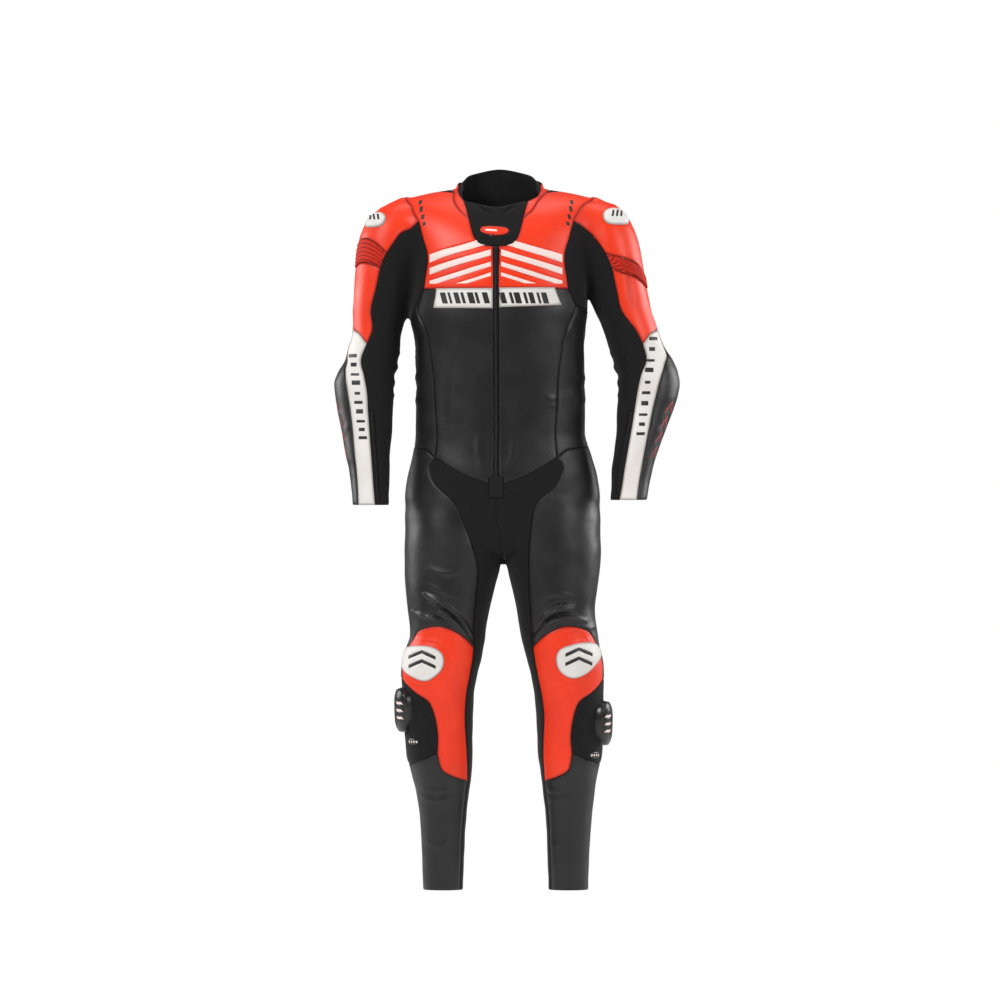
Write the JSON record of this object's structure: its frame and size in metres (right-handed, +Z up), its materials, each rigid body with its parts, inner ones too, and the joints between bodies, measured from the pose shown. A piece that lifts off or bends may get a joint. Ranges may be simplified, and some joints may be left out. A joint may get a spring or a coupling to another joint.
{
  "type": "motorcycle race suit",
  "caption": "One-piece leather motorcycle race suit, worn form, open at neck, cuffs and ankles, with stretch insets, padded cups and outer knee sliders.",
  "frame": {"origin": "on the shoulder line at the base of the neck, in the middle between the shoulders", "axes": "+Z up, the front faces -Y and the wearer's left is +X"},
  "size_m": [0.6906, 0.2549, 1.4438],
  "materials": {
    "red_leather": "smooth, low sheen",
    "black_leather": "smooth, low sheen",
    "white_leather": "smooth, low sheen",
    "stretch": "matte stretch cloth",
    "red_stretch": "matte ribbed stretch cloth",
    "hard_plastic": "hard, satin",
    "zip_tape": "woven tape",
    "zip_metal": "dark coated metal"
  },
  "bodies": {
    "suit": {"chest_right": "red_leather", "front_body_right": "black_leather", "side_body_right": "black_leather", "seat_right": "stretch", "thigh_right": "black_leather", "inner_leg_right": "stretch", "knee_right": "red_leather", "slider_base_right": "stretch", "shin_right": "black_leather", "calf_right": "black_leather", "collar_right": "red_leather", "sleeve_cap_right": "red_leather", "sleeve_rib_right": "red_stretch", "sleeve_upper_right": "red_leather", "sleeve_inset_right": "stretch", "sleeve_stripe_right": "white_leather", "elbow_right": "black_leather", "wrist_zip_right": "zip_tape", "chest_band_right": "white_leather", "knee_cup_right": "white_leather", "knee_slider_right": "hard_plastic", "slider_tab_right": "hard_plastic", "shoulder_cup_right": "white_leather", "chest_left": "red_leather", "front_body_left": "black_leather", "side_body_left": "black_leather", "seat_left": "stretch", "thigh_left": "black_leather", "inner_leg_left": "stretch", "knee_left": "red_leather", "slider_base_left": "stretch", "shin_left": "black_leather", "calf_left": "black_leather", "collar_left": "red_leather", "sleeve_cap_left": "red_leather", "sleeve_rib_left": "red_stretch", "sleeve_upper_left": "red_leather", "sleeve_inset_left": "stretch", "sleeve_stripe_left": "white_leather", "elbow_left": "black_leather", "wrist_zip_left": "zip_tape", "chest_band_left": "white_leather", "knee_cup_left": "white_leather", "knee_slider_left": "hard_plastic", "slider_tab_left": "hard_plastic", "shoulder_cup_left": "white_leather", "throat": "stretch", "front_zip": "zip_tape", "back_yoke": "black_leather", "back_body": "black_leather", "collar_back": "black_leather", "collar_lining": "stretch", "badge": "red_leather", "zip_slider": "zip_metal"},
    "pull": {"zip_pull": "zip_metal"}
  },
  "joints": [
    {"name": "zip_pull_hinge", "type": "hinge", "parent": "suit", "child": "pull", "pos_m": [-0.008, -0.12707, -0.11137], "axis": [-1, 0, 0], "range_deg": [0, 150]}
  ]
}
